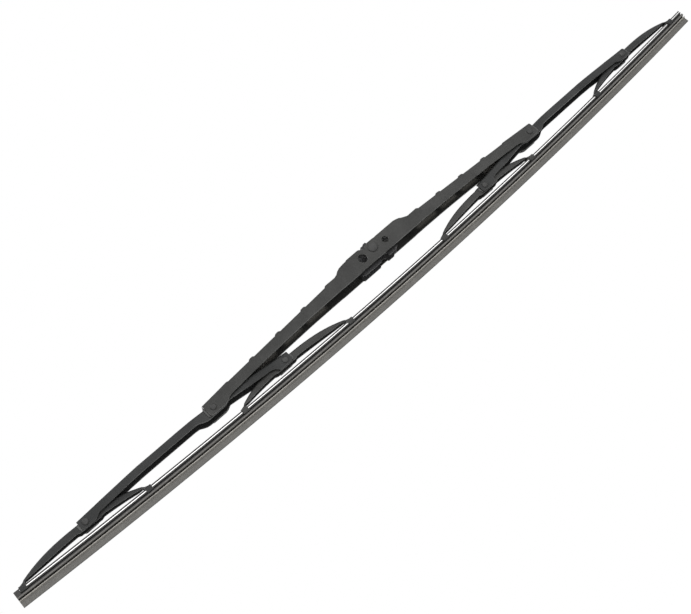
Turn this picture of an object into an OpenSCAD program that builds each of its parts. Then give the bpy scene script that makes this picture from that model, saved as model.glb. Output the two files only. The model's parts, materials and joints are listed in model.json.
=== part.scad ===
// Framed wiper blade: main bridge, two secondary bridges, four yokes, eight claws,
// a rubber element with two rails, and a hook adapter on a cross pin.
// Millimetres. The cross pin's axis is the origin, X runs along the blade, Y across it and Z away from the glass.

/* [Blade] */
// length of the rubber element
blade_length = 600.4; // [480:0.2:700]
// radius of the curve the rubber is held in
curve_radius = 4235; // [2500:5:9000]
// height of the rubber's back below the cross pin, in the middle
rubber_drop = 25; // [22:0.1:32]
// distance from the blade's middle to the cross pin
pin_offset = 2.4; // [0:0.1:6]
// distance that the rubber stands further out at the right end
rubber_shift = 3.5; // [-5:0.1:6]

/* [Main bridge] */
// distance from the blade's middle to the pivots of the secondary bridges
main_reach = 143.7; // [125:0.1:165]
// depth of those pivots below the cross pin
main_pivot_drop = 10.4; // [9:0.1:13]
// thickness of the main bridge's sheet
main_wall = 1.1; // [0.9:0.05:1.3]
// outside radius of its folds
main_bend = 1.5; // [1.3:0.1:2]
// outside width of the hump
hump_width = 15.6; // [14.6:0.1:17]
// outside width at its ends
main_end_width = 13.2; // [12.8:0.1:14.4]
// height of the arms' backs above the cross pin at the hump
arm_start_height = 0.5; // [-0.4:0.1:1.4]
// slope of the arms in degrees
arm_slope = 2.97; // [2:0.01:3.6]
// depth of the arms' lower edge beside the hump
arm_depth = 8.2; // [7:0.1:9]
// further depth of that edge at the end cheeks
arm_sag = 3.6; // [2.5:0.1:4.5]
// depth of the end cheeks below their pivot
main_cheek = 4; // [3.4:0.1:4.8]
// length of the end cheeks past their pivot
main_tail = 4.8; // [4:0.1:6]
// length of the raised end block inward of the left pivot
block_left = 17.7; // [14:0.1:24]
// length of the raised end block inward of the right pivot
block_right = 21.2; // [14:0.1:24]

/* [Hump] */
// height of the hump's back above the cross pin
hump_top = 5.4; // [5:0.1:6]
// distance from the cross pin to the feet of the hump
hump_half = 32.9; // [31:0.1:36]
// depth of the hump's lower edge below the cross pin
hump_depth = 8.3; // [7.5:0.1:9]
// left end of the window for the arm
window_left = 18.2; // [17.8:0.1:20]
// right end of the window for the arm
window_right = 22; // [17:0.1:24]
// width of the window for the arm
window_width = 11.4; // [10:0.1:12]

/* [Pressed ribs] */
// height of the ribs
rib_height = 0.9; // [0.6:0.05:1.1]
// height of the raised blocks at the arms' ends
block_height = 0.5; // [0.3:0.05:0.7]
// width of the ribs
rib_width = 4.6; // [3.6:0.1:6]

/* [Side pin holes] */
// radius of the quarter-inch side pin hole
large_hole = 3.2; // [3.1:0.05:3.4]
// distance of its centre to the left of the cross pin
large_hole_x = 10.6; // [9.5:0.1:11.5]
// radius of the three-sixteenths side pin hole
small_hole = 2.4; // [2.3:0.05:2.6]
// distance of its centre to the right of the cross pin
small_hole_x = 9.8; // [9:0.1:11]
// depth of both holes below the cross pin
side_hole_drop = 1.6; // [1:0.1:2.2]

/* [Cross pin] */
// radius of the cross pin
pin_radius = 2.5; // [2:0.1:2.8]
// radius of its heads
pin_head = 3.6; // [3.2:0.1:4]
// thickness of its heads
pin_head_height = 0.8; // [0.5:0.1:1.2]

/* [Hook adapter] */
// outside width over the adapter's cheeks
adapter_width = 8.4; // [8:0.1:9.4]
// thickness of its cheeks
adapter_cheek = 1; // [0.8:0.1:1.3]
// radius of its bearing barrel
barrel_radius = 4; // [3.7:0.1:4]
// depth of its feet below the cross pin
foot_depth = 10.35; // [9.5:0.05:11]
// height of its thumb latch above the cross pin
latch_height = 7.3; // [6.6:0.1:7.8]
// width of its thumb latch
latch_width = 7; // [5:0.1:8]

/* [Secondary bridges] */
// distance from the main pivot out to the outer yoke's pivot
secondary_out = 98.7; // [92:0.1:106]
// distance from the main pivot in to the inner yoke's pivot
secondary_in = 52.5; // [49:0.1:56]
// thickness of their sheet
secondary_wall = 1; // [0.8:0.05:1.1]
// outside radius of their folds
secondary_bend = 1.4; // [1.2:0.1:1.6]
// length of each end past the yoke's pivot
secondary_tail = 4.2; // [3.8:0.1:4.8]

/* [Yokes] */
// distance from a yoke's pivot to the claw of its long arm
long_arm = 48.2; // [44:0.1:52]
// distance from a yoke's pivot to the claw of its short arm
short_arm = 39.3; // [36:0.1:43]
// height of a yoke's pivot above the middle of its claws
claw_drop = 7.75; // [7.6:0.05:8.4]
// outside width of the yokes at their pivots
yoke_width = 6.2; // [5.8:0.05:6.4]
// outside width of the yokes at their claws
neck_width = 4.6; // [4:0.05:5.2]
// thickness of the yokes' sheet
yoke_wall = 0.8; // [0.7:0.05:0.9]
// height of the curve of a yoke's back above its pivot
yoke_crown = 2.1; // [1.9:0.05:2.3]
// height of its hub over the sleeve
yoke_hub = 2.4; // [2.3:0.05:2.6]
// depth of a yoke's cheeks below its pivot
yoke_cheek = 3.2; // [2.8:0.05:3.6]

/* [Claws] */
// length of the claws along the rubber
claw_length = 4.2; // [3.4:0.1:5]
// outside width of the claws
claw_width = 8; // [7.8:0.05:8.6]
// thickness of the claws' side walls and lips
claw_wall = 0.7; // [0.6:0.05:0.75]

/* [Rubber element] */
// width of the head
head_width = 6.2; // [5.8:0.05:6.2]
// depth of the rail slots below the back
slot_top = 0.6; // [0.5:0.05:0.6]
// depth of the middle flange below the back
flange_top = 1.45; // [1.45:0.05:1.6]
// depth of the claw groove below the back
groove_top = 2.3; // [2.2:0.05:2.4]
// depth of the lower flange below the back
groove_bottom = 3.3; // [3.25:0.05:3.4]
// depth of the head
head_depth = 4.4; // [4.2:0.05:4.6]
// depth of the shoulder below the back
shoulder_top = 5.5; // [5.3:0.05:5.7]
// width of the shoulder
shoulder_width = 4.4; // [3.6:0.05:4.8]
// depth of the whole section
rubber_depth = 9.9; // [9:0.05:10.4]
// thickness of the neck
neck_thickness = 1.1; // [0.9:0.05:1.3]
// thickness of the lip at its edge
lip_thickness = 0.8; // [0.6:0.05:0.9]
// length of the closed end of the head
closed_end = 3.3; // [2.5:0.1:4]

/* [Rails] */
// width of each rail
rail_width = 1.7; // [1.4:0.05:1.75]
// thickness of each rail
rail_thickness = 0.8; // [0.7:0.05:0.8]
// distance from the rails' outer edges to the middle plane
rail_edge = 3; // [2.95:0.05:3]
// distance that the rails stop short of the open end
rail_short = 0.6; // [0.4:0.1:1.5]

/* [Rivets and liners] */
// radius of the rivets' shanks
rivet_radius = 0.9; // [0.8:0.05:0.95]
// radius of the plastic sleeves on the shanks
sleeve_radius = 1.25; // [1.2:0.01:1.25]
// radius of the rivets' heads
rivet_head = 2.15; // [2:0.05:2.3]
// thickness of the rivets' heads
rivet_head_height = 0.7; // [0.5:0.05:0.9]
// thickness of the plastic liners
liner_wall = 0.45; // [0.4:0.01:0.48]
// distance that the liners stand out of the bridges' ends
liner_lip = 1.2; // [0.6:0.1:1.5]

/* [Clearances] */
// radial clearance of a sleeve in the lever that turns on it
running_gap = 0.05; // [0.03:0.01:0.08]
// radial clearance of a rivet in the lever that holds it
fixed_gap = 0.02; // [0.01:0.01:0.03]
// side clearance of a lever between its liners
side_gap = 0.05; // [0.03:0.01:0.08]

/* [Display] */
// sub-part to draw

/* [Hidden] */

$fn = 48;
fold_steps = 3;
mid_x = -pin_offset;

// claw sheet over the rubber's back, and the claw's middle below that back
plate_gap = 0.1;
plate_top = 0.7;
lip_top = groove_top + 0.1;
lip_bottom = lip_top + claw_wall;
claw_middle = (lip_bottom - plate_top) / 2;
plate_height = claw_middle + plate_top - claw_drop;
neck_height = plate_height + 1.05;

// half widths, each lever between the liners of the next
main_end_half = main_end_width / 2;
secondary_half = main_end_half - main_wall - liner_wall - side_gap;
yoke_half = yoke_width / 2;
secondary_end_half = yoke_half + side_gap + liner_wall + secondary_wall;

// height of the rubber's back at a distance from the middle
function back_z(x) = -rubber_drop + curve_radius - sqrt(curve_radius * curve_radius - x * x);
function claw_z(x) = back_z(x) - claw_middle;

// tilt and height of a yoke that stands on its two claws
function rough_tilt(x, inner, outer) = atan2(claw_z(x + outer) - claw_z(x - inner), inner + outer);
function foot_x(x, inner, outer) = x + claw_drop * sin(rough_tilt(x, inner, outer));
function yoke_tilt(x, inner, outer) = rough_tilt(foot_x(x, inner, outer), inner, outer);
function pivot_z(x, inner, outer) =
  claw_z(foot_x(x, inner, outer) - inner * cos(yoke_tilt(x, inner, outer)))
  + inner * sin(yoke_tilt(x, inner, outer))
  + claw_drop * cos(yoke_tilt(x, inner, outer));

outer_x = main_reach + secondary_out;
inner_x = main_reach - secondary_in;
outer_tilt = yoke_tilt(outer_x, short_arm, long_arm);
inner_tilt = yoke_tilt(inner_x, long_arm, short_arm);
outer_z = pivot_z(outer_x, short_arm, long_arm);
inner_z = pivot_z(inner_x, long_arm, short_arm);
main_z = -main_pivot_drop;

// smooth step from 0 to 1
function ease(t) = t <= 0 ? 0 : t >= 1 ? 1 : t * t * (3 - 2 * t);

function flip(list) = [for (i = [len(list) - 1:-1:0]) list[i]];

// quarter turn of a fold about a centre
function fold(cy, cz, r, from, to) =
  [for (i = [0:fold_steps]) let(a = from + (to - from) * i / fold_steps) [cy + r * cos(a), cz + r * sin(a)]];

// U section of a folded lever: half width, top, lower edge, sheet and fold radius
function u_section(half, top, low, wall, bend) =
  let(
    outer = min(bend, top - low - 0.12),
    inner = max(0.06, outer - wall),
    y = half - wall - inner,
    z = top - wall - inner
  )
  concat(
    [[-half, low]],
    fold(-half + outer, top - outer, outer, 180, 90),
    fold(half - outer, top - outer, outer, 90, 0),
    [[half, low], [half - wall, low]],
    fold(y, z, inner, 0, 90),
    fold(-y, z, inner, 90, 180),
    [[-half + wall, low]]
  );

// folded lever lofted through stations of x, top, lower edge and half width
module folded(stations, wall, bend) {
  inward = stations[0][0] > stations[len(stations) - 1][0] ? stations : flip(stations);
  loops = [for (s = inward) [for (p = u_section(s[3], s[1], s[2], wall, bend)) [s[0], p[0], p[1]]]];
  n = len(loops);
  m = len(loops[0]);
  polyhedron(
    points = [for (l = loops) each l],
    faces = concat(
      [for (i = [0:n - 2]) for (j = [0:m - 1]) let(k = (j + 1) % m) [i * m + j, (i + 1) * m + j, (i + 1) * m + k]],
      [for (i = [0:n - 2]) for (j = [0:m - 1]) let(k = (j + 1) % m) [i * m + j, (i + 1) * m + k, i * m + k]],
      [for (j = [0:m / 2 - 2]) each [[j, j + 1, m - 2 - j], [j, m - 2 - j, m - 1 - j]]],
      [for (j = [0:m / 2 - 2]) let(e = (n - 1) * m) each [[e + m - 2 - j, e + j + 1, e + j], [e + m - 1 - j, e + m - 2 - j, e + j]]]
    )
  );
}

// cylinder across the blade
module across(x, z, r, half) {
  translate([x, half, z]) rotate([90, 0, 0]) cylinder(r = r, h = 2 * half);
}

// rivet across the blade, with a head on each side
module rivet(x, z, shank, half, head, height) {
  translate([x, 0, z]) rotate([90, 0, 0]) rotate_extrude() polygon([
    [0, -half - height], [head * 0.62, -half - height], [head * 0.9, -half - height * 0.72],
    [head, -half - height * 0.3], [head, -half], [shank, -half], [shank, half], [head, half],
    [head, half + height * 0.3], [head * 0.9, half + height * 0.72], [head * 0.62, half + height], [0, half + height]
  ]);
}

// half of the blade drawn from the middle outward, on either side
module on_side(side) {
  translate([mid_x, 0, 0]) {
    if (side > 0) {
      children();
    } else {
      mirror([1, 0, 0]) children();
    }
  }
}

// back of the main bridge's arms, without ribs
function arm_top(x) = arm_start_height - (abs(x - mid_x) - 42) * tan(arm_slope);
// rib profile across its width
function rib(t) = rib_height * (abs(t) >= 1 ? 0 : abs(t) >= 0.62 ? (1 - abs(t)) / 0.38 * 0.8 : 1 - abs(t) / 0.62 * 0.2);
// lower edge of the arms, with the end cheeks
function arm_low(d) =
  d < main_reach - 13.7
    ? -arm_depth - arm_sag * pow(max(0, d - 40) / (main_reach - 53.7), 1.9)
    : -arm_depth - arm_sag - (main_pivot_drop + main_cheek - arm_depth - arm_sag) * ease((d - main_reach + 13.7) / 7.4);
function arm_half(x) =
  hump_width / 2 - (hump_width / 2 - main_end_half)
    * min(1, max(0, (abs(x) - hump_half) / (main_reach - 24 - hump_half)));

// station of an arm at a distance out from the middle, with a raised back
function arm_station(side, d, rise) =
  let(x = mid_x + side * d) [x, arm_top(x) + rise, arm_low(d), arm_half(x)];

// fall of the end block's back along its length, and rise of the first rib at the hump's foot
block_fall = 0.5;
foot_rise = rib_height - 0.5;

// arm from the hump outward: the first rib, three more, and the raised end block
function arm_stations(side, block) =
  let(
    base = hump_half - side * mid_x,
    first = base + 9.6,
    start = main_reach - block,
    pitch = (start - first) / 3.75,
    end = main_reach + main_tail
  )
  concat(
    [arm_station(side, base + 1, foot_rise), arm_station(side, first - 1.6, rib_height)],
    [arm_station(side, first - 0.9, rib_height * 0.8), arm_station(side, first, 0)],
    [for (k = [1:3]) for (t = [-1, -0.62, -0.25, 0.25, 0.62, 1])
      arm_station(side, first + pitch * (k - 0.13) + t * rib_width / 2, rib(t))],
    [arm_station(side, start, 0), arm_station(side, start + 0.9, block_height * 0.8), arm_station(side, start + 1.7, block_height)],
    [for (d = [main_reach - 13.7, main_reach - 11.6, main_reach - 10, main_reach - 8.3, main_reach - 6.3])
      arm_station(side, d, block_height - block_fall * (d - start) / block)],
    [arm_station(side, end - 1.4, block_height - block_fall - 0.05)],
    [let(s = arm_station(side, end - 0.4, block_height - block_fall - 0.06)) [s[0], s[1], s[2] + 0.5, s[3]]],
    [let(s = arm_station(side, end, block_height - block_fall - 0.15)) [s[0], s[1], s[2] + 1.4, s[3]]]
  );

function hump_station(x, top) = [x, top, -hump_depth, hump_width / 2];

// hump from its left foot to its right foot
function hump_stations() = [
  hump_station(-hump_half, arm_top(-hump_half) + foot_rise),
  hump_station(-hump_half + 2.4, hump_top - 3.2),
  hump_station(-hump_half + 4.4, hump_top - 1.9),
  hump_station(-hump_half + 6.5, hump_top - 1.05),
  hump_station(-hump_half + 10.4, hump_top - 0.55),
  hump_station(-19.8, hump_top - 0.42),
  hump_station(-18.9, hump_top),
  hump_station(-9.2, hump_top),
  hump_station(8, hump_top - 0.3),
  hump_station(hump_half - 9.3, hump_top - 0.35),
  hump_station(hump_half - 7.3, hump_top - 0.8),
  hump_station(hump_half - 5.3, hump_top - 1.4),
  hump_station(hump_half - 3.6, hump_top - 2.5),
  hump_station(hump_half - 2.1, hump_top - 3.2),
  hump_station(hump_half, arm_top(hump_half) + foot_rise)
];

module primary_bridge() {
  color([0.13, 0.13, 0.14]) difference() {
    folded(
      concat(flip(arm_stations(-1, block_left)), hump_stations(), arm_stations(1, block_right)),
      main_wall, main_bend
    );
    across(0, 0, pin_radius + fixed_gap, hump_width);
    across(-large_hole_x, -side_hole_drop, large_hole, hump_width);
    across(small_hole_x, -side_hole_drop, small_hole, hump_width);
    across(mid_x - main_reach, main_z, rivet_radius + fixed_gap, hump_width);
    across(mid_x + main_reach, main_z, rivet_radius + fixed_gap, hump_width);
    translate([-window_left, -window_width / 2, hump_top - 2.2])
      cube([window_left + window_right, window_width, 4]);
    translate([0, hump_width, 0]) rotate([90, 0, 0]) linear_extrude(2 * hump_width) polygon([
      [-9.2, hump_top + 1], [-8.9, hump_top - 0.1], [-7.2, hump_top - 1.7], [-6.2, hump_top - 1.9],
      [-5.8, hump_top - 2.5], [-4.9, hump_top - 2.8], [-4.2, hump_top - 2.5], [-3.6, hump_top - 1.6],
      [-1.1, hump_top - 0.7], [-0.5, hump_top - 0.2], [-0.4, hump_top + 1]
    ]);
    translate([0, hump_width, 0]) rotate([90, 0, 0]) linear_extrude(2 * hump_width) polygon([
      [3.9, hump_top + 1], [4.1, hump_top - 0.25], [5, hump_top - 0.65], [6.5, hump_top - 0.75],
      [7.4, hump_top - 0.2], [7.6, hump_top + 1]
    ]);
  }
}

module cross_pin() {
  color([0.2, 0.2, 0.21]) rivet(0, 0, pin_radius, hump_width / 2, pin_head, pin_head_height);
}

// outline of the adapter's cheeks
module cheek_outline() {
  polygon([
    [-16.9, -foot_depth + 0.8], [-16.1, -foot_depth], [-1.9, -foot_depth], [-1, -foot_depth + 0.8], [-1, -8.2],
    [0.4, -7], [3.7, -7], [5.1, -8.2], [5.1, -foot_depth + 0.5], [5.6, -foot_depth], [10.3, -foot_depth],
    [10.8, -foot_depth + 0.5], [11.5, -9.1], [14, -8.9], [14, -3], [11.6, 1.9], [6, 3],
    [-2, 3.4], [-3.4, 4.2], [-8.8, 4.2], [-13.5, 1.8], [-16.9, -3.2]
  ]);
}

module hook_adapter() {
  color([0.16, 0.16, 0.17]) difference() {
    union() {
      for (y = [-adapter_width / 2, adapter_width / 2 - adapter_cheek]) {
        translate([0, y + adapter_cheek, 0]) rotate([90, 0, 0]) linear_extrude(adapter_cheek) cheek_outline();
      }
      across(0, 0, barrel_radius, hump_width / 2 - main_wall - 0.1);
      translate([-16.9, -adapter_width / 2 + 0.4, -foot_depth + 2]) cube([1.2, adapter_width - 0.8, foot_depth - 6.2]);
      translate([12.8, -adapter_width / 2 + 0.4, -8.6]) cube([1.2, adapter_width - 0.8, 5.4]);
      translate([0, latch_width / 2, 0]) rotate([90, 0, 0]) linear_extrude(latch_width) polygon([
        [-4.6, 1.2], [-4.6, latch_height - 0.9], [-4.3, latch_height - 0.7], [-2.5, latch_height - 0.7],
        [-1.3, latch_height], [0.3, latch_height], [0.7, latch_height - 0.4], [0.7, 1.2]
      ]);
    }
    across(0, 0, pin_radius + running_gap, hump_width);
    across(-large_hole_x, -side_hole_drop, large_hole + 0.3, hump_width);
    across(small_hole_x, -side_hole_drop, small_hole + 0.4, hump_width);
  }
}

// rivets of the main pivots
module main_rivet(side) {
  color([0.17, 0.17, 0.18]) on_side(side)
    rivet(main_reach, main_z, rivet_radius, main_end_half, rivet_head, rivet_head_height);
}

// liner between an outer lever's end and the lever inside it: two cheeks joined by a sleeve on the rivet
module liner(x, z, half, from, to, high, low) {
  difference() {
    union() {
      for (y = [-half, half - liner_wall]) {
        translate([0, y + liner_wall, 0]) rotate([90, 0, 0]) linear_extrude(liner_wall) polygon([
          [x + from, z - low], [x + from, z + high], [x + to, z + high], [x + to, z - low + 1.6],
          [x + to - 0.5, z - low + 0.5], [x + to - 1.6, z - low]
        ]);
      }
      across(x, z, sleeve_radius, half - 0.1);
    }
    across(x, z, rivet_radius + fixed_gap, half + 1);
  }
}

module main_liner(side) {
  color([0.55, 0.56, 0.57]) on_side(side) liner(
    main_reach, main_z, main_end_half - main_wall, -6.6, main_tail + liner_lip, 2.7, main_cheek - 0.3
  );
}

// secondary bridge from its outer end inward
function secondary_stations() =
  let(
    e = secondary_end_half,
    h = secondary_half
  )
  [
    [outer_x + secondary_tail, outer_z + 3.45, outer_z - 2, e],
    [outer_x + secondary_tail - 0.5, outer_z + 3.6, outer_z - 2.9, e],
    [outer_x + secondary_tail - 1.5, outer_z + 3.65, outer_z - 3.3, e],
    [outer_x - 5.4, outer_z + 3.95, outer_z - 3.3, e],
    [outer_x - 7.2, outer_z + 4.05, outer_z - 2.4, e],
    [outer_x - 9.4, outer_z + 4.1, outer_z - 1.3, e + (h - e) * 0.06],
    [outer_x - 14.4, outer_z + 4.35, outer_z - 1.1, e + (h - e) * 0.2],
    [outer_x - 22.4, outer_z + 4.6, outer_z - 0.8, e + (h - e) * 0.36],
    [outer_x - 32.4, outer_z + 4.95, outer_z - 0.1, e + (h - e) * 0.5],
    [outer_x - 42.4, outer_z + 5.2, outer_z + 0.1, e + (h - e) * 0.62],
    [main_reach + 41.3, main_z + 4.15, main_z - 0.9, e + (h - e) * 0.75],
    [main_reach + 26.3, main_z + 4.05, main_z - 1.1, e + (h - e) * 0.9],
    [main_reach + 16.3, main_z + 3.85, main_z - 1.2, h],
    [main_reach + 13.3, main_z + 3.7, main_z - 1.5, h],
    [main_reach + 10.6, main_z + 3.5, main_z - 2.9, h],
    [main_reach + 8.7, main_z + 3.35, main_z - 3.7, h],
    [main_reach + 6.3, main_z + 3.2, main_z - 4.1, h],
    [main_reach - 6.7, main_z + 3.05, main_z - 4, h],
    [main_reach - 8.8, main_z + 2.8, main_z - 3, h],
    [main_reach - 10.7, main_z + 2.55, main_z - 2.65, h],
    [main_reach - 18.7, main_z + 1.8, main_z - 3.6, h],
    [inner_x + 23.8, inner_z + 7.35, inner_z + 1.75, e + (h - e) * 0.7],
    [inner_x + 16.8, inner_z + 6.35, inner_z + 1.05, e + (h - e) * 0.35],
    [inner_x + 11.8, inner_z + 5.6, inner_z + 0.75, e + (h - e) * 0.1],
    [inner_x + 8.6, inner_z + 5.2, inner_z - 0.4, e],
    [inner_x + 6.3, inner_z + 4.9, inner_z - 3.1, e],
    [inner_x - 2.8, inner_z + 4.1, inner_z - 3.1, e],
    [inner_x - secondary_tail + 0.5, inner_z + 3.95, inner_z - 2.8, e],
    [inner_x - secondary_tail, inner_z + 3.85, inner_z - 2, e]
  ];

module secondary_bridge(side) {
  color([0.13, 0.13, 0.14]) on_side(side) difference() {
    folded(secondary_stations(), secondary_wall, secondary_bend);
    across(main_reach, main_z, sleeve_radius + running_gap, hump_width);
    across(outer_x, outer_z, rivet_radius + fixed_gap, hump_width);
    across(inner_x, inner_z, rivet_radius + fixed_gap, hump_width);
    translate([outer_x - 8, -yoke_half - side_gap, outer_z + 1]) cube([20, yoke_width + 2 * side_gap, 5]);
    translate([inner_x - 12, -yoke_half - side_gap, inner_z + 1]) cube([20, yoke_width + 2 * side_gap, 6]);
  }
}

// depth of the arms' lower edges below a yoke's pivot
long_edge = 2.3;
short_edge = 2.2;

// back and lower edges of a yoke's arms, from the pivot to the claw
function arm_back(u) = yoke_crown - (yoke_crown - neck_height) * pow(u, 3);
function long_low(u) = min(arm_back(u) - 1, -long_edge - (6.1 - 3.6 * u) * u * u);
function short_low(u) = min(arm_back(u) - 1, -short_edge - 3.2 * u * u);
function yoke_side(u) = yoke_half + (neck_width / 2 - yoke_half) * ease((u - 0.15) / 0.7);

// end of an arm, which curves down into the claw's back
function claw_end(s, arm) = [
  [s * (arm - 2.7), arm_back(1 - 2.7 / arm), arm_back(1 - 2.7 / arm) - 1, neck_width / 2],
  [s * (arm - 1.3), neck_height + 0.25, plate_height - 0.15, neck_width / 2],
  [s * (arm + 0.1), neck_height - 0.15, plate_height - 0.45, neck_width / 2],
  [s * (arm + 0.9), neck_height - 0.4, plate_height - 0.48, neck_width / 2],
  [s * (arm + 1.4), neck_height - 0.55, plate_height - 0.5, neck_width / 2]
];

function yoke_stations() = concat(
  flip(claw_end(-1, short_arm)),
  [for (u = [0.87, 0.78, 0.68, 0.57, 0.46, 0.36, 0.27])
    [-u * short_arm, arm_back(u), short_low(u), yoke_side(u)]],
  [[-8.5, arm_back(8.5 / short_arm), -yoke_cheek, yoke_half]],
  [[-5.3, arm_back(5.3 / short_arm), -yoke_cheek, yoke_half], [-3.7, yoke_hub - 0.15, -yoke_cheek, yoke_half]],
  [[-2.4, yoke_hub, -yoke_cheek, yoke_half], [2.4, yoke_hub, -yoke_cheek, yoke_half]],
  [[3.7, yoke_hub - 0.15, -yoke_cheek, yoke_half], [5.3, arm_back(5.3 / long_arm), -yoke_cheek, yoke_half]],
  [[6, arm_back(6 / long_arm), -yoke_cheek, yoke_half]],
  [for (u = [0.165, 0.25, 0.35, 0.45, 0.54, 0.63, 0.72, 0.8, 0.88])
    [u * long_arm, arm_back(u), long_low(u), yoke_side(u)]],
  claw_end(1, long_arm)
);

// claw round the rubber's head, drawn from the rubber's back
module claw(x) {
  half = claw_width / 2;
  inner = half - claw_wall;
  tip = inner - 1.5;
  translate([x - claw_length / 2, 0, claw_middle - claw_drop]) rotate([90, 0, 90]) linear_extrude(claw_length) polygon(concat(
    [[-tip, -lip_bottom + 0.1], [-tip - 0.1, -lip_bottom], [-half + 0.7, -lip_bottom], [-half + 0.2, -lip_bottom + 0.25]],
    [[-half, -lip_bottom + 0.7], [-half, plate_top - 0.75], [-half + 0.22, plate_top - 0.22], [-half + 0.75, plate_top]],
    [[half - 0.75, plate_top], [half - 0.22, plate_top - 0.22], [half, plate_top - 0.75], [half, -lip_bottom + 0.7]],
    [[half - 0.2, -lip_bottom + 0.25], [half - 0.7, -lip_bottom], [tip + 0.1, -lip_bottom], [tip, -lip_bottom + 0.1]],
    [[tip, -lip_top], [inner, -lip_top], [inner, plate_gap], [-inner, plate_gap], [-inner, -lip_top], [-tip, -lip_top]]
  ));
}

module yoke_body() {
  difference() {
    union() {
      folded(yoke_stations(), yoke_wall, 1.1);
      claw(long_arm);
      claw(-short_arm);
    }
    across(0, 0, sleeve_radius + running_gap, hump_width);
  }
}

module outer_yoke(side) {
  color([0.14, 0.14, 0.15]) on_side(side)
    translate([outer_x, 0, outer_z]) rotate([0, -outer_tilt, 0]) yoke_body();
}

module inner_yoke(side) {
  color([0.14, 0.14, 0.15]) on_side(side)
    translate([inner_x, 0, inner_z]) rotate([0, -inner_tilt, 0]) mirror([1, 0, 0]) yoke_body();
}

module yoke_rivet(side, x, z) {
  color([0.17, 0.17, 0.18]) on_side(side)
    rivet(x, z, rivet_radius, secondary_end_half, rivet_head, rivet_head_height);
}

module outer_liner(side) {
  color([0.55, 0.56, 0.57]) on_side(side) liner(
    outer_x, outer_z, secondary_end_half - secondary_wall, -5, secondary_tail + liner_lip, 1.3, 3
  );
}

module inner_liner(side) {
  color([0.55, 0.56, 0.57]) on_side(side) translate([inner_x, 0, inner_z]) mirror([1, 0, 0]) liner(
    0, 0, secondary_end_half - secondary_wall, -5, secondary_tail + liner_lip, 1.3, 2.8
  );
}

// sweep of a section of half widths and depths along the rubber's curve, between two distances from the middle
module along_curve(from, to) {
  a = asin(from / curve_radius);
  b = asin(to / curve_radius);
  translate([mid_x, 0, curve_radius - rubber_drop]) rotate([90, 90 - a, 0])
    rotate_extrude(angle = b - a, $fn = 1440) translate([curve_radius, 0]) children();
}

left_end = rubber_shift - blade_length / 2;
right_end = rubber_shift + blade_length / 2;
slot_floor = rail_edge - rail_width - 0.05;
groove_floor = claw_width / 2 - claw_wall - 1.5 - 0.25;

module rubber_element() {
  h = head_width / 2;
  n = neck_thickness / 2;
  s = shoulder_width / 2;
  t = lip_thickness / 2;
  side = [
    [0, h - 0.1], [0.1, h], [groove_bottom, h], [head_depth - 0.35, h - 0.1], [head_depth, h - 0.5], [head_depth + 0.1, n + 0.35],
    [head_depth + 0.4, n], [shoulder_top - 0.3, n], [shoulder_top, n + 0.3], [shoulder_top + 0.05, s - 0.1],
    [shoulder_top + 0.2, s], [shoulder_top + 0.55, s], [shoulder_top + 0.7, s - 0.2],
    [shoulder_top + 0.95, t + 0.6], [shoulder_top + 1.5, t + 0.3], [rubber_depth, t]
  ];
  color([0.24, 0.22, 0.21]) difference() {
    along_curve(left_end, right_end)
      polygon(concat(side, [for (i = [len(side) - 1:-1:0]) [side[i][0], -side[i][1]]]));
    along_curve(left_end + closed_end, right_end + 1) for (y = [-1, 1]) scale([1, y]) union() {
      translate([slot_top, slot_floor]) square([flange_top - slot_top, 4]);
      translate([groove_top, groove_floor]) square([groove_bottom - groove_top, 4]);
    }
  }
}

module rail(y) {
  low = slot_top + (flange_top - slot_top - rail_thickness) / 2;
  color([0.78, 0.79, 0.8]) along_curve(left_end + closed_end + 0.2, right_end - rail_short)
    translate([low, y > 0 ? -rail_edge : rail_edge - rail_width]) square([rail_thickness, rail_width]);
}

primary_bridge();
cross_pin();
hook_adapter();
main_rivet(-1);  // left_main_rivet
main_rivet(1);  // right_main_rivet
main_liner(-1);  // left_main_liner
main_liner(1);  // right_main_liner
secondary_bridge(-1);  // left_secondary_bridge
secondary_bridge(1);  // right_secondary_bridge
outer_yoke(-1);  // left_outer_yoke
inner_yoke(-1);  // left_inner_yoke
inner_yoke(1);  // right_inner_yoke
outer_yoke(1);  // right_outer_yoke
yoke_rivet(-1, outer_x, outer_z);  // left_outer_rivet
yoke_rivet(-1, inner_x, inner_z);  // left_inner_rivet
yoke_rivet(1, inner_x, inner_z);  // right_inner_rivet
yoke_rivet(1, outer_x, outer_z);  // right_outer_rivet
outer_liner(-1);  // left_outer_liner
inner_liner(-1);  // left_inner_liner
inner_liner(1);  // right_inner_liner
outer_liner(1);  // right_outer_liner
rubber_element();
rail(-1);  // front_rail
rail(1);  // back_rail
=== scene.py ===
# Framed wiper blade seen from its front and a little below, on white.
import json
import math
import bpy
import numpy as np
from mathutils import Matrix, Vector


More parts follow.
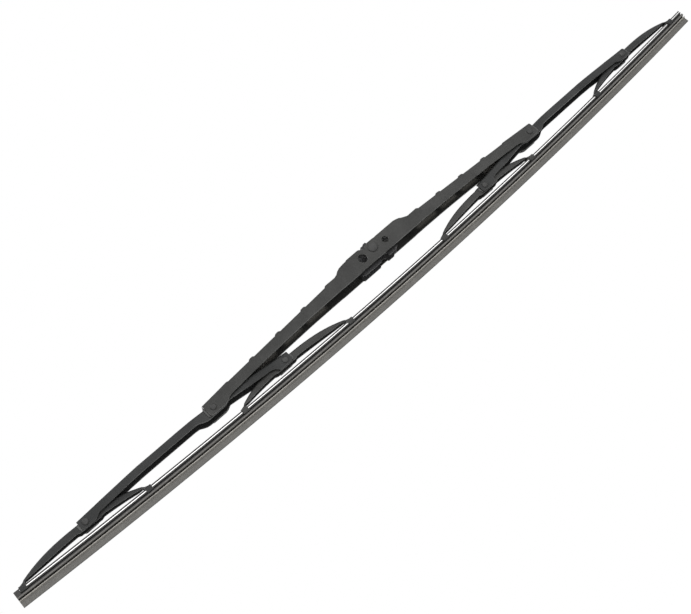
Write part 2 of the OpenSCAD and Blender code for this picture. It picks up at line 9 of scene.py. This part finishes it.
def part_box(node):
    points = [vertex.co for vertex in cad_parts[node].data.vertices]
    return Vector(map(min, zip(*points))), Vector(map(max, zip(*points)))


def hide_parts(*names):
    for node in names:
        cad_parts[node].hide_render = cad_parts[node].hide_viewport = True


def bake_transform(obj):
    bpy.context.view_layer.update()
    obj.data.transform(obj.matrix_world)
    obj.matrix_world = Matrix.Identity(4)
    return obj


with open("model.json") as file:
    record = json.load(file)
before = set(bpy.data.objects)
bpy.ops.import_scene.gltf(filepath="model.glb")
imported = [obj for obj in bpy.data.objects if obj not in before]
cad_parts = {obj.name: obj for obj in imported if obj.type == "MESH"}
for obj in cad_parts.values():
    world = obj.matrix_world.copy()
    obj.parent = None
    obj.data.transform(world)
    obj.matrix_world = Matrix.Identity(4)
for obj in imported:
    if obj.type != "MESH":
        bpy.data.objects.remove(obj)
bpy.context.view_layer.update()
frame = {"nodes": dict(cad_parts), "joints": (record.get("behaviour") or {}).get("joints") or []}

print("stage: frame loaded")

mm = 0.001
nodes = frame["nodes"]
jointAt = {joint["name"]: Vector(joint["pos_m"]) for joint in frame["joints"]}

# The blade's middle, and how far the yokes' pivots stand from it.
midX = (jointAt["left_main_pivot"].x + jointAt["right_main_pivot"].x) / 2
outerX = jointAt["right_outer_pivot"].x - midX
innerX = jointAt["right_inner_pivot"].x - midX


# Camera

camera = {
    "place": Vector((-294.8, -673.4, -243.0)) * mm,
    "right": Vector((0.7081, -0.0300, -0.7055)),  # the picture's right and up, as directions of the frame
    "up": Vector((0.6202, -0.4512, 0.6416)),
    "focalPixels": 1200,
    "photoWidth": 691,
    "sensor": 36,
    "clipStart": 0.01,
}


def addToScene(name, data):
    item = bpy.data.objects.new(name, data)
    bpy.context.scene.collection.objects.link(item)
    return item


def addCamera():
    right = camera["right"].normalized()
    up = (camera["up"] - right * camera["up"].dot(right)).normalized()
    back = right.cross(up)
    data = bpy.data.cameras.new("camera")
    data.sensor_fit = "HORIZONTAL"
    data.sensor_width = camera["sensor"]
    data.lens = camera["focalPixels"] / camera["photoWidth"] * camera["sensor"]
    data.clip_start = camera["clipStart"]
    item = addToScene("camera", data)
    turn = Matrix((right, up, back)).transposed().to_4x4()
    item.matrix_world = Matrix.Translation(camera["place"]) @ turn
    bpy.context.scene.camera = item


addCamera()
print("stage: camera")


# Helpers for materials

def grey(value):
    return (value, value, value, 1)


def newMaterial(name):
    material = bpy.data.materials.new(name)
    material.use_nodes = True
    tree = material.node_tree
    return material, tree, tree.nodes["Principled BSDF"]


def setInputs(tree, node, inputs):
    for key, value in inputs.items():
        if isinstance(value, bpy.types.NodeSocket):
            tree.links.new(value, node.inputs[key])
        else:
            node.inputs[key].default_value = value


def addNode(tree, kind, inputs=None, **settings):
    node = tree.nodes.new(kind)
    for key, value in settings.items():
        setattr(node, key, value)
    setInputs(tree, node, inputs or {})
    return node


def newGroup(name, inputs, outputs):
    tree = bpy.data.node_groups.new(name, "ShaderNodeTree")
    for label, default in inputs.items():
        socket = tree.interface.new_socket(name=label, in_out="INPUT", socket_type="NodeSocketFloat")
        socket.default_value = default
    for label, kind in outputs.items():
        tree.interface.new_socket(name=label, in_out="OUTPUT", socket_type="NodeSocket" + kind)
    return tree, tree.nodes.new("NodeGroupInput").outputs, tree.nodes.new("NodeGroupOutput")


def useGroup(tree, group, inputs):
    return addNode(tree, "ShaderNodeGroup", inputs, node_tree=group).outputs


def ramp(tree, value, low, high):
    node = addNode(tree, "ShaderNodeValToRGB", {"Fac": value})
    node.color_ramp.elements[0].position = low
    node.color_ramp.elements[1].position = high
    return node.outputs["Color"]


mixSockets = {"factor": 0, "first": 6, "second": 7, "result": 2}  # places of the Mix node's colour sockets


def mixColor(tree, factor, first, second, blend="MIX"):
    node = addNode(tree, "ShaderNodeMix", data_type="RGBA", blend_type=blend)
    setInputs(tree, node, {
        mixSockets["factor"]: factor, mixSockets["first"]: first, mixSockets["second"]: second})
    return node.outputs[mixSockets["result"]]


def mathNode(tree, operation, first, second=0.0, third=0.0, clamp=False):
    inputs = {0: first, 1: second, 2: third}
    return addNode(tree, "ShaderNodeMath", inputs, operation=operation, use_clamp=clamp).outputs[0]


def noise(tree, place, scale, detail, roughness=0.5):
    inputs = {"Vector": place, "Scale": scale, "Detail": detail, "Roughness": roughness}
    return addNode(tree, "ShaderNodeTexNoise", inputs).outputs["Fac"]


def bump(tree, strength, distance, height):
    inputs = {"Strength": strength, "Distance": distance, "Height": height}
    return addNode(tree, "ShaderNodeBump", inputs).outputs["Normal"]


def objectPlace(tree):
    return addNode(tree, "ShaderNodeTexCoord").outputs["Object"]


# Group: edges. One minus the dot product of the normal and the normal that a small bevel would have there.
edgeLook = {"radius": 0.3 * mm, "samples": 4, "low": 0.02, "high": 0.16}


def makeEdgeGroup():
    tree, source, target = newGroup("edgeMask", {"Radius": edgeLook["radius"]}, {"Edge": "Float"})
    rounded = addNode(tree, "ShaderNodeBevel", {"Radius": source["Radius"]}, samples=edgeLook["samples"])
    flat = addNode(tree, "ShaderNodeNewGeometry").outputs["Normal"]
    normals = {0: rounded.outputs[0], 1: flat}
    dot = addNode(tree, "ShaderNodeVectorMath", normals, operation="DOT_PRODUCT").outputs["Value"]
    turned = mathNode(tree, "SUBTRACT", 1.0, dot)
    setInputs(tree, target, {"Edge": ramp(tree, turned, edgeLook["low"], edgeLook["high"])})
    return tree


# Group: powder coat. A fine orange peel for the normal, a soft mask of where handling has polished it, and a
# mask of dust specks.
coatLook = {
    "peelStrength": 0.05, "peelScale": 1900, "peelDetail": 3, "peelHeight": 0.4 * mm,
    "cloudScale": 60, "cloudDetail": 5, "cloudRoughness": 0.62, "cloudLow": 0.36, "cloudHigh": 0.68,
    "speckFactor": 1.7, "speckDetail": 1, "speckLow": 0.66, "speckHigh": 0.76,
}


def makeCoatGroup():
    look = coatLook
    tree, source, target = newGroup(
        "powderCoat",
        {"Peel": look["peelStrength"], "Scale": 1.0},
        {"Normal": "Vector", "Polish": "Float", "Speck": "Float"},
    )
    place = objectPlace(tree)
    peelScale = mathNode(tree, "MULTIPLY", source["Scale"], look["peelScale"])
    cloudScale = mathNode(tree, "MULTIPLY", source["Scale"], look["cloudScale"])
    speckScale = mathNode(tree, "MULTIPLY", peelScale, look["speckFactor"])
    peel = noise(tree, place, peelScale, look["peelDetail"])
    cloud = noise(tree, place, cloudScale, look["cloudDetail"], look["cloudRoughness"])
    specks = noise(tree, place, speckScale, look["speckDetail"])
    setInputs(tree, target, {
        "Normal": bump(tree, source["Peel"], look["peelHeight"], peel),
        "Polish": ramp(tree, cloud, look["cloudLow"], look["cloudHigh"]),
        "Speck": ramp(tree, specks, look["speckLow"], look["speckHigh"]),
    })
    return tree


# Group: drawn surface. Long streaks along the blade, from noise whose scale is small in X and large across.
drawnLook = {"across": 4000, "along": 30, "depth": 0.1, "detail": 4, "roughness": 0.6, "height": 0.3 * mm}


def makeDrawnGroup():
    look = drawnLook
    tree, source, target = newGroup(
        "drawnSurface",
        {"Across": look["across"], "Along": look["along"], "Depth": look["depth"]},
        {"Streak": "Float", "Normal": "Vector"},
    )
    scales = addNode(tree, "ShaderNodeCombineXYZ", {
        "X": source["Along"], "Y": source["Across"], "Z": source["Across"]})
    factors = {0: objectPlace(tree), 1: scales.outputs[0]}
    squeezed = addNode(tree, "ShaderNodeVectorMath", factors, operation="MULTIPLY").outputs[0]
    streak = noise(tree, squeezed, 1, look["detail"], look["roughness"])
    setInputs(tree, target, {
        "Streak": streak,
        "Normal": bump(tree, source["Depth"], look["height"], streak),
    })
    return tree


edgeGroup = makeEdgeGroup()
coatGroup = makeCoatGroup()
drawnGroup = makeDrawnGroup()


# Mask of painted light on the main bridge's inner walls between its pressed ribs: the lighter stretches stand
# in for light reaching inside the channel, and the ribs' places are left dark as painted shade.
# It is nought unless the wall faces the blade's middle plane, where y times the normal's y is below
# -inwardBy, and the place along the arm lies in one of the stretches, whose ends fade in.
# It grows as (height / rise) ^ steepness over the arm's lower edge. At the distance d off the blade's middle
# this edge lies at z = -depth - sag ((d - from) / over) ^ power. All lengths are in mm.
def paintedLightBetweenRibs(tree, settings):
    place = addNode(tree, "ShaderNodeSeparateXYZ", {0: objectPlace(tree)}).outputs
    facing = addNode(tree, "ShaderNodeNewGeometry").outputs["Normal"]
    normal = addNode(tree, "ShaderNodeSeparateXYZ", {0: facing}).outputs
    across = mathNode(tree, "MULTIPLY", place["Y"], normal["Y"])
    inward = mathNode(tree, "LESS_THAN", across, -settings["inwardBy"] * mm)
    between = 0.0
    for start, end in settings["stretches"]:
        middle, half = (start + end) / 2 * mm, abs(end - start) / 2 * mm
        away = mathNode(tree, "ABSOLUTE", mathNode(tree, "SUBTRACT", place["X"], midX + middle))
        inside = mathNode(tree, "SUBTRACT", half, away)
        faded = mathNode(tree, "DIVIDE", inside, settings["fade"] * mm, clamp=True)
        between = mathNode(tree, "MAXIMUM", between, faded)
    low = settings["lowEdge"]
    distance = mathNode(tree, "ABSOLUTE", mathNode(tree, "SUBTRACT", place["X"], midX))
    beyond = mathNode(tree, "SUBTRACT", distance, low["from"] * mm)
    share = mathNode(tree, "DIVIDE", beyond, low["over"] * mm, clamp=True)
    sag = mathNode(tree, "MULTIPLY", mathNode(tree, "POWER", share, low["power"]), low["sag"] * mm)
    height = mathNode(tree, "ADD", mathNode(tree, "ADD", place["Z"], low["depth"] * mm), sag)
    risen = mathNode(tree, "DIVIDE", height, settings["rise"] * mm, clamp=True)
    strength = mathNode(tree, "POWER", risen, settings["steepness"])
    return mathNode(tree, "MULTIPLY", mathNode(tree, "MULTIPLY", inward, strength), between)


# Paint or moulding with an orange peel. Handling has polished it in clouds, dust lies on it in specks, and
# its edges are worn to a lighter tone, most where it is polished.
def makeCoated(name, settings):
    material, tree, shader = newMaterial(name)
    coat = useGroup(tree, coatGroup, {"Peel": settings["peel"], "Scale": settings["scale"]})
    color = mixColor(tree, coat["Polish"], settings["dark"], settings["light"])
    # Painted light: where the settings carry it, the inner walls between the ribs are lightened.
    if "inside" in settings:
        color = mixColor(tree, paintedLightBetweenRibs(tree, settings["inside"]), color, settings["inside"]["color"])
    dusty = mathNode(tree, "MULTIPLY", coat["Speck"], settings["speck"])
    color = mixColor(tree, dusty, color, settings["dust"])
    edge = useGroup(tree, edgeGroup, {"Radius": settings["edgeRadius"]})["Edge"]
    wear = mathNode(tree, "MULTIPLY_ADD", coat["Polish"], settings["wear"], settings["leastWear"])
    color = mixColor(tree, mathNode(tree, "MULTIPLY", edge, wear), color, settings["bare"])
    rough = mathNode(tree, "MULTIPLY_ADD", coat["Polish"], -settings["polish"], settings["roughness"])
    setInputs(tree, shader, {
        "Base Color": color, "Roughness": rough, "Normal": coat["Normal"],
        "Specular IOR Level": settings["specular"],
    })
    return material


framePaint = {
    "dark": (0.025, 0.0251, 0.0238, 1), "light": (0.039, 0.039, 0.037, 1), "dust": (0.1, 0.1, 0.095, 1),
    "bare": (0.12, 0.118, 0.11, 1), "leastWear": 0.5, "wear": 0.55, "edgeRadius": 0.45 * mm,
    "speck": 0.35, "peel": 0.32, "scale": 1.0, "roughness": 0.48, "polish": 0.1, "specular": 0.25,
}
# Painted light and shade inside the main bridge: a light colour between the ribs, with the dark paint left at
# them.
paintedLightInside = {
    "color": (0.19, 0.184, 0.166, 1), "inwardBy": 2, "fade": 3, "rise": 2.9, "steepness": 2.2,
    "lowEdge": {"depth": 8.2, "sag": 3.6, "from": 40, "over": 90, "power": 1.9},
    "stretches": [  # along the blade from its middle
        (39.2, 59.1), (61.5, 78.5), (81.5, 98), (102, 117),
        (-42.8, -61.8), (-64.6, -82.1), (-87.5, -105), (-110.5, -123),
    ],
}
yokePaint = makeCoated("yokePaint", framePaint | {
    "dark": (0.03, 0.03, 0.0285, 1), "light": (0.045, 0.045, 0.0427, 1)})
bridgePaintWithPaintedLight = makeCoated("bridgePaintWithPaintedLight", framePaint | {"inside": paintedLightInside})
# Painted shade: a darker copy of the frame paint for the secondary bridges and outer yokes.
shadedLeverPaint = makeCoated("shadedLeverPaint", framePaint | {
    "dark": (0.0175, 0.0183, 0.0182, 1), "light": (0.028, 0.029, 0.0288, 1), "dust": (0.09, 0.09, 0.087, 1),
    "edgeRadius": 0.4 * mm, "specular": 0.22,
})
pinPaint = makeCoated("pinPaint", {
    "dark": (0.026, 0.026, 0.025, 1), "light": (0.038, 0.038, 0.0365, 1), "dust": grey(0.12),
    "bare": (0.16, 0.157, 0.148, 1), "leastWear": 0.5, "wear": 0.6, "edgeRadius": 0.25 * mm,
    "speck": 0.35, "peel": 0.2, "scale": 1.6, "roughness": 0.42, "polish": 0.1, "specular": 0.3,
})
adapterPlastic = makeCoated("adapterPlastic", {
    "dark": (0.03, 0.03, 0.031, 1), "light": (0.04, 0.04, 0.041, 1), "dust": grey(0.07),
    "bare": grey(0.06), "leastWear": 0.5, "wear": 0.4, "edgeRadius": 0.3 * mm,
    "speck": 0.2, "peel": 0.3, "scale": 0.8, "roughness": 0.55, "polish": 0.05, "specular": 0.25,
})
linerPlastic = makeCoated("linerPlastic", {
    "dark": (0.07, 0.07, 0.068, 1), "light": (0.1, 0.1, 0.098, 1), "dust": grey(0.15),
    "bare": grey(0.13), "leastWear": 0.5, "wear": 0.4, "edgeRadius": 0.2 * mm,
    "speck": 0.2, "peel": 0.08, "scale": 1.2, "roughness": 0.42, "polish": 0.05, "specular": 0.3,
})
print("stage: paints and plastics")


# CAD nodes: welded facets, smooth folds, and a finish by the ending of the node's name

nodeLook = {
    "weldDistance": 0.004 * mm,
    "finishes": {  # material, and the angle in degrees past which an edge stays sharp
        "primary_bridge": (bridgePaintWithPaintedLight, 38),
        "secondary_bridge": (shadedLeverPaint, 38),
        "outer_yoke": (shadedLeverPaint, 38),
        "inner_yoke": (yokePaint, 38),
        "hook_adapter": (adapterPlastic, 38),
        "liner": (linerPlastic, 38),
        "rivet": (pinPaint, 50),
        "cross_pin": (pinPaint, 50),
    },
}


def dressNode(item, material, sharpAngle):
    item.data.materials.clear()
    item.data.materials.append(material)
    item.data.polygons.foreach_set("use_smooth", [True] * len(item.data.polygons))
    item.modifiers.new("weld", "WELD").merge_threshold = nodeLook["weldDistance"]
    item.modifiers.new("creases", "EDGE_SPLIT").split_angle = math.radians(sharpAngle)


def dressNodes():
    for name in nodes:
        for ending, (material, sharpAngle) in nodeLook["finishes"].items():
            if name.endswith(ending):
                dressNode(nodes[name], material, sharpAngle)


dressNodes()
print("stage: nodes dressed")


# Rubber and rails: sections swept along the curve

rubberLow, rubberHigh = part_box("rubber_element")
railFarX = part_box("front_rail")[1][0]

# Depths are measured from the rubber's back toward the glass, and halves across from the middle plane.
rubber = {
    "curveRadius": 4235 * mm,
    "backZ": -25 * mm,
    "closedEnd": 3.3 * mm,
    "headHalf": rubberHigh[1],
    "slotTop": 0.8 * mm,
    "slotBottom": 1.45 * mm,
    "slotFloor": 1.25 * mm,
    "grooveTop": 2.3 * mm,
    "grooveBottom": 3.3 * mm,
    "grooveFloor": 1.55 * mm,
    "headDepth": 4.65 * mm,
    "neckHalf": 0.55 * mm,
    "shoulderTop": 5.5 * mm,
    "shoulderHalf": 2.2 * mm,
    "depth": 9.9 * mm,
    "lipHalf": 0.4 * mm,
    "corner": 0.11 * mm,
    # Corners in mm: how much deeper than their level, the half width they start from, and how much wider.
    "headCorners": [
        (-0.35, "headHalf", -0.08), (0, "headHalf", -0.5), (0.1, "neckHalf", 0.35), (0.4, "neckHalf", 0),
    ],
    "shoulderCorners": [
        (-0.3, "neckHalf", 0), (0, "neckHalf", 0.3), (0.05, "shoulderHalf", 0), (0.6, "shoulderHalf", 0),
        (0.95, "lipHalf", 0.6), (1.5, "lipHalf", 0.3),
    ],
}
rail = {
    "inner": 1.3 * mm, "outer": 3 * mm, "top": 0.82 * mm, "bottom": 1.425 * mm,
    "corner": 0.12 * mm,
    "endGap": 0.2 * mm,  # between the rails and the rubber's closed end
}
sweepLook = {
    "stationGap": 2.4 * mm, "fewestStations": 3,
    "cornerSteps": 2, "cornerShare": 0.45,  # steps of a rounded corner, and its largest share of a side
    "sharpAngle": 32,
}

# Colours by depth under the rubber's back, in mm, and the grain that multiplies them. The bands are painted
# light and shade: dark in the head and neck as painted shade, light at the head's lower edge and at the
# shoulder as painted highlights, and the lip in the rubber's own tone with a darker wiping edge.
rubberLook = {
    "litAndShadedBands": [
        (0, (0.012, 0.011, 0.011)), (3.6, (0.014, 0.013, 0.012)),  # head
        (3.95, (0.17, 0.165, 0.155)), (4.5, (0.17, 0.165, 0.155)),  # its lower edge
        (4.75, (0.012, 0.011, 0.011)), (5.3, (0.014, 0.013, 0.012)),  # neck
        (5.55, (0.4, 0.385, 0.355)), (6.3, (0.4, 0.385, 0.355)),  # shoulder
        (6.6, (0.15, 0.146, 0.136)), (9.5, (0.14, 0.136, 0.127)),  # lip
        (9.75, (0.06, 0.058, 0.054)),  # wiping edge
    ],
    "drawn": {"Across": 5200, "Along": 16, "Depth": 0.25},
    "streakDark": (0.78, 0.77, 0.76, 1), "streakLight": (1.08, 1.08, 1.07, 1),
    "streakLow": 0.35, "streakHigh": 0.7,
    "bloom": (1.2, 1.2, 1.18, 1), "bloomLow": 0.5, "bloomHigh": 0.75,
    "bloomScale": 140, "bloomDetail": 6, "bloomRoughness": 0.66,
    "roughness": 0.42, "streakRoughness": 0.2, "specular": 0.5,
}
railLook = {
    "drawn": {"Across": 7000, "Along": 5, "Depth": 0.05},
    "dark": (0.5, 0.5, 0.495, 1), "light": (0.74, 0.735, 0.72, 1),
    "roughness": 0.16, "streakRoughness": 0.22,
}


# Colour ramp by depth that paints light and shade into the rubber.
def addLitAndShadedBands(tree, litAndShadedBands):
    depth = addNode(tree, "ShaderNodeAttribute", attribute_name="depth").outputs["Fac"]
    node = addNode(tree, "ShaderNodeValToRGB", {"Fac": mathNode(tree, "DIVIDE", depth, rubber["depth"])})
    stops = node.color_ramp.elements
    while len(stops) < len(litAndShadedBands):
        stops.new(1)
    for stop, (at, color) in zip(stops, litAndShadedBands):
        stop.position = at * mm / rubber["depth"]
        stop.color = (*color, 1)
    return node.outputs["Color"]


def makeRubber():
    look = rubberLook
    material, tree, shader = newMaterial("bladeRubberWithPaintedShade")
    drawn = useGroup(tree, drawnGroup, look["drawn"])
    clouds = noise(tree, objectPlace(tree), look["bloomScale"], look["bloomDetail"], look["bloomRoughness"])
    streaks = ramp(tree, drawn["Streak"], look["streakLow"], look["streakHigh"])
    grain = mixColor(tree, streaks, look["streakDark"], look["streakLight"])
    grain = mixColor(tree, ramp(tree, clouds, look["bloomLow"], look["bloomHigh"]), grain, look["bloom"])
    setInputs(tree, shader, {
        "Base Color": mixColor(tree, 1, addLitAndShadedBands(tree, look["litAndShadedBands"]), grain, "MULTIPLY"),
        "Roughness": mathNode(
            tree, "MULTIPLY_ADD", drawn["Streak"], look["streakRoughness"], look["roughness"]),
        "Normal": drawn["Normal"],
        "Specular IOR Level": look["specular"],
    })
    return material


def makeRailSteel():
    look = railLook
    material, tree, shader = newMaterial("railSteel")
    drawn = useGroup(tree, drawnGroup, look["drawn"])
    setInputs(tree, shader, {
        "Base Color": mixColor(tree, drawn["Streak"], look["dark"], look["light"]),
        "Roughness": mathNode(
            tree, "MULTIPLY_ADD", drawn["Streak"], look["streakRoughness"], look["roughness"]),
        "Normal": drawn["Normal"],
        "Metallic": 1,
    })
    return material


bladeRubberWithPaintedShade = makeRubber()
railSteel = makeRailSteel()
print("stage: rubber and steel")


# Distance off the middle, at the back, of the section whose point at a depth has this x. Sections are square
# to the curve, so it is (x - midX) R / (R + depth).
def distanceAt(x, depth):
    radius = rubber["curveRadius"]
    return (x - midX) * radius / (radius + depth)


rubberEnds = {
    "left": distanceAt(rubberLow[0], rubber["depth"]),
    "right": distanceAt(rubberHigh[0], rubber["depth"]),
}


# Closed loop of (depth, y) points with every corner rounded.
# Each corner p becomes a quadratic curve from p + a to p + b, where a and b are steps of the corner radius
# toward its neighbours: q(t) = (1 - t)^2 (p + a) + 2 t (1 - t) p + t^2 (p + b).
def roundedLoop(points, radius):
    points = np.array(points, float)[:, None, :]
    before = np.roll(points, 1, axis=0) - points
    after = np.roll(points, -1, axis=0) - points
    sizeBefore = np.linalg.norm(before, axis=2, keepdims=True)
    sizeAfter = np.linalg.norm(after, axis=2, keepdims=True)
    first = points + before / sizeBefore * np.minimum(radius, sizeBefore * sweepLook["cornerShare"])
    last = points + after / sizeAfter * np.minimum(radius, sizeAfter * sweepLook["cornerShare"])
    t = np.linspace(0, 1, sweepLook["cornerSteps"] + 1)[None, :, None]
    return ((1 - t) ** 2 * first + 2 * t * (1 - t) * points + t * t * last).reshape(-1, 2)


# Section of the rubber as (depth, y): one side from the back down to the lip, and the same with -y back up.
# The rails' slot and the claws' groove are there only where the head is open.
def rubberSection(openHead):
    r = rubber
    side = [(0, r["headHalf"])]
    if openHead:
        for cut in ("slot", "groove"):
            top, bottom, inner = r[cut + "Top"], r[cut + "Bottom"], r[cut + "Floor"]
            side += [(top, r["headHalf"]), (top, inner), (bottom, inner), (bottom, r["headHalf"])]
    for level, corners in (("headDepth", "headCorners"), ("shoulderTop", "shoulderCorners")):
        side += [(r[level] + deeper * mm, r[half] + wider * mm) for deeper, half, wider in r[corners]]
    side.append((r["depth"], r["lipHalf"]))
    return roundedLoop(side + [(depth, -y) for depth, y in reversed(side)], r["corner"])


# Section of one rail as (depth, y): a rectangle with rounded corners, on side 1 or -1 of the middle plane.
def railSection(side):
    inner, outer = side * rail["inner"], side * rail["outer"]
    top, bottom = rail["top"], rail["bottom"]
    return roundedLoop([(top, inner), (top, outer), (bottom, outer), (bottom, inner)], rail["corner"])


# Sweep of a loop along the curve from one distance off the middle to another.
# A section point (v, y) at angle a lies at x = midX + (R + v) sin a, z = backZ + R - (R + v) cos a,
# with a from asin(start / R) to asin(end / R).
# Faces point outwards where twice the loop's area, the sum of v y' - v' y from each point to the next, is
# above nought, so a loop that runs the other way round is reversed first.
def sweep(loop, start, end):
    following = np.roll(loop, -1, axis=0)
    if (loop[:, 0] * following[:, 1] - following[:, 0] * loop[:, 1]).sum() < 0:
        loop = loop[::-1]
    radius = rubber["curveRadius"]
    count = max(sweepLook["fewestStations"], int(round((end - start) / sweepLook["stationGap"])) + 1)
    angles = np.linspace(math.asin(start / radius), math.asin(end / radius), count)
    reach = radius + loop[:, 0]
    points = np.empty((count, len(loop), 3))
    points[:, :, 0] = midX + np.outer(np.sin(angles), reach)
    points[:, :, 1] = loop[:, 1]
    points[:, :, 2] = rubber["backZ"] + radius - np.outer(np.cos(angles), reach)
    n = len(loop)
    row = np.arange(count - 1)[:, None] * n
    here = np.arange(n)[None, :]
    beside = (here + 1) % n
    quads = np.stack([row + here, row + beside, row + n + beside, row + n + here], axis=-1).reshape(-1, 4)
    caps = np.stack([np.arange(n)[::-1], (count - 1) * n + np.arange(n)])
    depths = np.tile(loop[:, 0], count)
    return {"points": points.reshape(-1, 3), "quads": quads, "caps": caps, "depths": depths}


# One mesh of several sweeps, each closed by itself, with the section's depth as a number on every vertex.
def makePiece(name, parts, material):
    faces = []
    start = 0
    for part in parts:
        faces += (part["quads"] + start).tolist() + (part["caps"] + start).tolist()
        start += len(part["points"])
    vertices = np.concatenate([part["points"] for part in parts])
    depths = np.concatenate([part["depths"] for part in parts])
    mesh = bpy.data.meshes.new(name)
    mesh.from_pydata(vertices.tolist(), [], faces)
    mesh.attributes.new("depth", "FLOAT", "POINT").data.foreach_set("value", depths)
    mesh.polygons.foreach_set("use_smooth", [True] * len(mesh.polygons))
    mesh.set_sharp_from_angle(angle=math.radians(sweepLook["sharpAngle"]))
    mesh.materials.append(material)
    return addToScene(name, mesh)


# Stretches of one half: name, from, to, the body it leaves, the body it joins, and the two distances off the
# middle between which it turns from one to the other.
# A yoke's claws stand at its arms' lengths from its pivot. Between two yokes the rubber follows the secondary
# bridge, and at the blade's middle the main bridge.
longArm = 48.2 * mm
shortArm = 39.3 * mm
betweenYokes = outerX - 74 * mm
nearMiddle = 21 * mm
stretches = [
    ("end", betweenYokes, None, "outer_yoke_body", "secondary_body", outerX - shortArm, betweenYokes),
    ("inner", innerX, betweenYokes, "secondary_body", "inner_yoke_body", betweenYokes, innerX + shortArm),
    ("near", nearMiddle, innerX, "inner_yoke_body", "secondary_body", innerX - longArm, nearMiddle),
    ("middle", 0, nearMiddle, "secondary_body", "main_bridge_body", nearMiddle, 0),
]


# Sweeps of the rubber and of the rails between two distances. At the rubber's left end the head is closed and
# the rails stop before it, and at its right end the rails stop where the solid ones do.
def stretchParts(low, high):
    closed = []
    railLow, railHigh = low, high
    if low == rubberEnds["left"]:
        low += rubber["closedEnd"]
        railLow = low + rail["endGap"]
        closed = [sweep(rubberSection(False), rubberEnds["left"], low)]
    if high == rubberEnds["right"]:
        railHigh = distanceAt(railFarX, rail["bottom"])
    rails = [sweep(railSection(side), railLow, railHigh) for side in (-1, 1)]
    return closed + [sweep(rubberSection(True), low, high)], rails


def addStretch(side, word, start, end, bodyA, bodyB, turnFrom, turnTo):
    sign = 1 if side == "right" else -1
    low, high = sorted((sign * start, rubberEnds[side] if end is None else sign * end))
    rubberParts, railParts = stretchParts(low, high)
    pieces = [
        makePiece(side + "_rubber_" + word, rubberParts, bladeRubberWithPaintedShade),
        makePiece(side + "_rails_" + word, railParts, railSteel),
    ]
    for item in pieces:
        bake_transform(item)
    return pieces


def addRubber():
    for side in ("left", "right"):
        for stretch in stretches:
            rubberPiece, railPiece = addStretch(side, *stretch)
            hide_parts("rubber_element")
            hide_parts("front_rail", "back_rail")


addRubber()
print("stage: rubber and rails")


# Stage: lamps, white surround and a floor far below

surround = {"level": 0.45, "white": 1.0}
floor = {"level": 0.12, "white": 0.6, "glow": 0.8, "roughness": 0.9, "half": 12, "z": -0.9}
lamps = {
    "key": {"place": (0.25, -1.15, 0.42), "size": (1.8, 0.9), "power": 9},
    "low": {"place": (-0.35, -1.0, -0.45), "size": (0.9, 0.7), "power": 3.6},
    "high": {"place": (-0.6, -0.5, 1.1), "size": (0.6, 0.5), "power": 4.5},
    "back": {"place": (-0.2, 1.25, 0.45), "size": (1.8, 0.9), "power": 8},
}
lampTarget = Vector((0, 0, -0.01))


def addLamps():
    for name, lamp in lamps.items():
        data = bpy.data.lights.new(name, "AREA")
        data.shape = "RECTANGLE"
        data.size, data.size_y = lamp["size"]
        data.energy = lamp["power"]
        item = addToScene(name, data)
        item.location = lamp["place"]
        item.rotation_euler = (lampTarget - Vector(lamp["place"])).to_track_quat("-Z", "Y").to_euler()


# One where the camera, a reflection or a view through glass meets the surround, and nought for the light that
# falls on the object.
def whiteRays(tree):
    path = addNode(tree, "ShaderNodeLightPath").outputs
    shown = mathNode(tree, "MAXIMUM", path["Is Camera Ray"], path["Is Glossy Ray"])
    return mathNode(tree, "MAXIMUM", shown, path["Is Transmission Ray"])


def addWorld():
    world = bpy.data.worlds.new("surround")
    bpy.context.scene.world = world
    world.use_nodes = True
    tree = world.node_tree
    color = mixColor(tree, whiteRays(tree), grey(surround["level"]), grey(surround["white"]))
    setInputs(tree, tree.nodes["Background"], {"Color": color})


# Floor: a square of twice the half on a side, level at z under the part.
def addFloor():
    half, z = floor["half"], floor["z"]
    corners = [(-half, -half, z), (half, -half, z), (half, half, z), (-half, half, z)]
    mesh = bpy.data.meshes.new("floor")
    mesh.from_pydata(corners, [], [(0, 1, 2, 3)])
    item = addToScene("floor", mesh)
    material, tree, shader = newMaterial("floorWhite")
    shown = whiteRays(tree)
    setInputs(tree, shader, {
        "Base Color": mixColor(tree, shown, grey(floor["level"]), grey(floor["white"])),
        "Emission Color": mixColor(tree, shown, grey(0), grey(floor["glow"])),
        "Emission Strength": 1,
        "Roughness": floor["roughness"],
    })
    mesh.materials.append(material)


addWorld()
addLamps()
addFloor()
bpy.context.scene.view_settings.view_transform = "Standard"
print("stage: lamps and surround")
